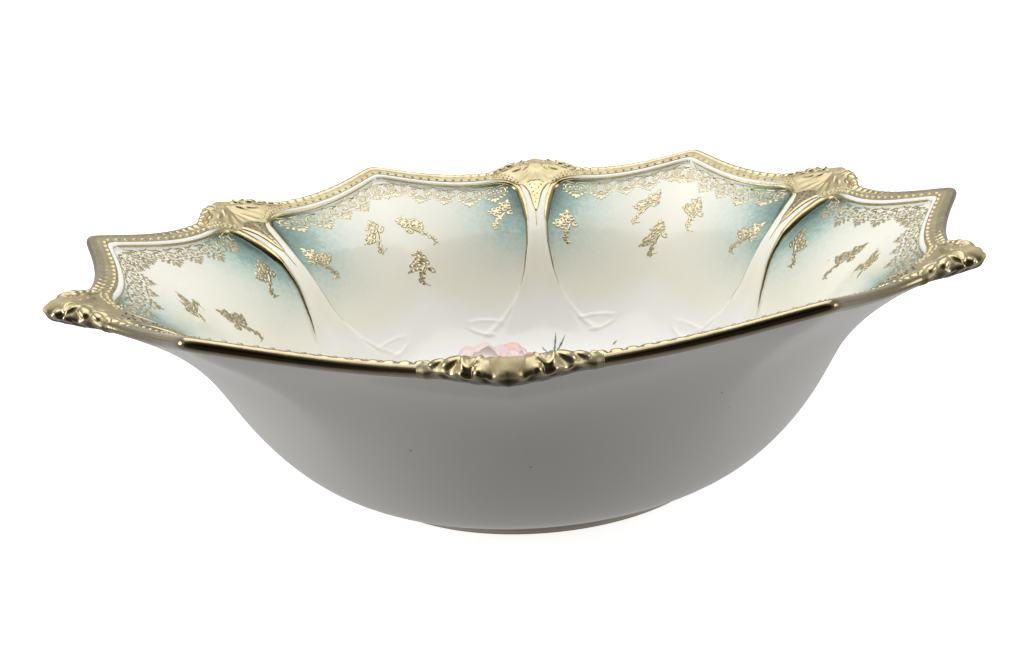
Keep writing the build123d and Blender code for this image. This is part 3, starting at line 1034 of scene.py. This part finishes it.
painted_flowers()

# ------------------------------------------------------------------ stage, light and camera
def area_light(name, place, target, width, height, power, colour=(1, 1, 1)):
    data = bpy.data.lights.new(name, "AREA")
    data.shape = "RECTANGLE"
    data.size, data.size_y = width, height
    data.energy = power
    data.color = colour
    lamp = bpy.data.objects.new(name, data)
    bpy.context.collection.objects.link(lamp)
    lamp.location = place
    lamp.rotation_euler = (Vector(target) - Vector(place)).to_track_quat("-Z", "Y").to_euler()
    lamp.visible_camera = False
    return lamp


def stage_floor():
    mesh = bpy.data.meshes.new("studio_floor")
    r = 6.0
    mesh.from_pydata([(-r, -r, 0), (r, -r, 0), (r, r, 0), (-r, r, 0)], [], [(0, 1, 2, 3)])
    n = Nodes("studio_paper")
    n.set(Base_Color=n.mix(n.noise(6, 2), rgb(202, 202, 202), rgb(198, 198, 198)), Roughness=0.95)
    n.shader.inputs["Specular IOR Level"].default_value = 0.0
    n.shader.inputs["Emission Color"].default_value = (1, 1, 1, 1)
    n.shader.inputs["Emission Strength"].default_value = 0.84
    mesh.materials.append(n.material)
    floor = bpy.data.objects.new("studio_floor", mesh)
    bpy.context.collection.objects.link(floor)
    floor.visible_diffuse = False
    floor.visible_glossy = False


def world():
    """White to the camera; to the bowl, a room that is dark on the camera's side and lighter behind and above."""
    made = bpy.data.worlds.new("studio")
    bpy.context.scene.world = made
    made.use_nodes = True
    tree = made.node_tree
    tree.nodes.clear()

    def add(kind, **inputs):
        node = tree.nodes.new(kind)
        for key, value in inputs.items():
            socket = node.inputs[key.replace("_", " ")]
            if isinstance(value, bpy.types.NodeSocket):
                tree.links.new(value, socket)
            else:
                socket.default_value = value
        return node

    where = add("ShaderNodeTexCoord").outputs["Generated"]
    split = add("ShaderNodeSeparateXYZ", Vector=where)
    lift = add("ShaderNodeMapRange", Value=split.outputs["Z"], From_Min=-1.0)
    ramps = []
    for stops in (WORLD_STOPS, FRONT_STOPS):
        ramp = add("ShaderNodeValToRGB", Fac=lift.outputs["Result"])
        while len(ramp.color_ramp.elements) < len(stops):
            ramp.color_ramp.elements.new(0.5)
        for element, (position, colour) in zip(ramp.color_ramp.elements, stops):
            element.position = position
            element.color = (*colour, 1)
        ramps.append(ramp.outputs["Color"])
    front = add("ShaderNodeMapRange", Value=split.outputs["Y"], From_Min=-0.2, From_Max=-0.7)
    room = tree.nodes.new("ShaderNodeMix")
    room.data_type = "RGBA"
    tree.links.new(front.outputs["Result"], room.inputs[0])
    tree.links.new(ramps[0], room.inputs[6])
    tree.links.new(ramps[1], room.inputs[7])
    ray = add("ShaderNodeLightPath")
    mirrored = tree.nodes.new("ShaderNodeMath")
    mirrored.operation = "MULTIPLY"
    tree.links.new(front.outputs["Result"], mirrored.inputs[0])
    tree.links.new(ray.outputs["Is Glossy Ray"], mirrored.inputs[1])
    strength = add("ShaderNodeMapRange", Value=mirrored.outputs[0], To_Min=1.0, To_Max=FRONT_IN_MIRRORS)
    glow = add("ShaderNodeBackground", Color=room.outputs[2], Strength=strength.outputs["Result"])
    plain = add("ShaderNodeBackground", Color=(1, 1, 1, 1), Strength=1.0)
    mix = add("ShaderNodeMixShader", Fac=ray.outputs["Is Camera Ray"])
    tree.links.new(glow.outputs[0], mix.inputs[1])
    tree.links.new(plain.outputs[0], mix.inputs[2])
    out = add("ShaderNodeOutputWorld")
    tree.links.new(mix.outputs[0], out.inputs["Surface"])


# (place from straight down at 0 to straight up at 1, colour), for the sides and rear and for the camera's side
WORLD_STOPS = ((0.0, (0.38, 0.376, 0.372)), (0.45, (0.54, 0.535, 0.53)), (0.6, (0.6, 0.6, 0.6)),
               (0.8, (0.62, 0.62, 0.62)), (1.0, (0.7, 0.7, 0.7)))
FRONT_STOPS = ((0.0, (0.088, 0.085, 0.084)), (0.5, (0.18, 0.175, 0.17)), (0.58, (0.15, 0.145, 0.14)),
               (0.66, (0.045, 0.036, 0.028)), (1.0, (0.05, 0.042, 0.035)))
FRONT_IN_MIRRORS = 0.3
stage_floor()
world()
area_light("top_softbox", (-0.08, 0.24, 1.0), (-0.08, 0.24, 0), 1.5, 1.2, 10.6, (0.96, 0.985, 1.0))
area_light("left_panel", (-1.1, -0.1, 0.25), (0, 0, 0.05), 0.5, 0.5, 4.6)
area_light("right_panel", (1.1, -0.1, 0.25), (0, 0, 0.05), 0.5, 0.5, 2.7)

camera_data = bpy.data.cameras.new("camera")
camera_data.sensor_width = 36.0
camera_data.lens = 37.61
camera_data.shift_x = -0.0879
camera_data.clip_start = 0.01
camera_data.clip_end = 50
camera = bpy.data.objects.new("camera", camera_data)
bpy.context.collection.objects.link(camera)


def aim(place, azimuth, elevation, yaw, pitch, roll):
    """Points the camera from a direction round the bowl, then turns it a little to frame the photographed view."""
    az, el = radians(azimuth), radians(elevation)
    back = Vector((sin(az) * cos(el), -cos(az) * cos(el), sin(el)))
    right = Vector((cos(az), sin(az), 0))
    up = back.cross(right)
    turn = Matrix.Rotation(radians(pitch), 3, right) @ Matrix.Rotation(radians(yaw), 3, up)
    right, up, back = turn @ right, turn @ up, turn @ back
    tilt = Matrix.Rotation(radians(roll), 3, back)
    right, up = tilt @ right, tilt @ up
    camera.matrix_world = Matrix.Translation(place) @ Matrix((right, up, back)).transposed().to_4x4()


aim(Vector((13.591, -326.039, 142.526)) * UNIT, 2.387, 23.594, -3.624, 6.130, -4.087)
scene = bpy.context.scene
scene.camera = camera
scene.view_settings.view_transform = "Standard"
scene.view_settings.look = "None"
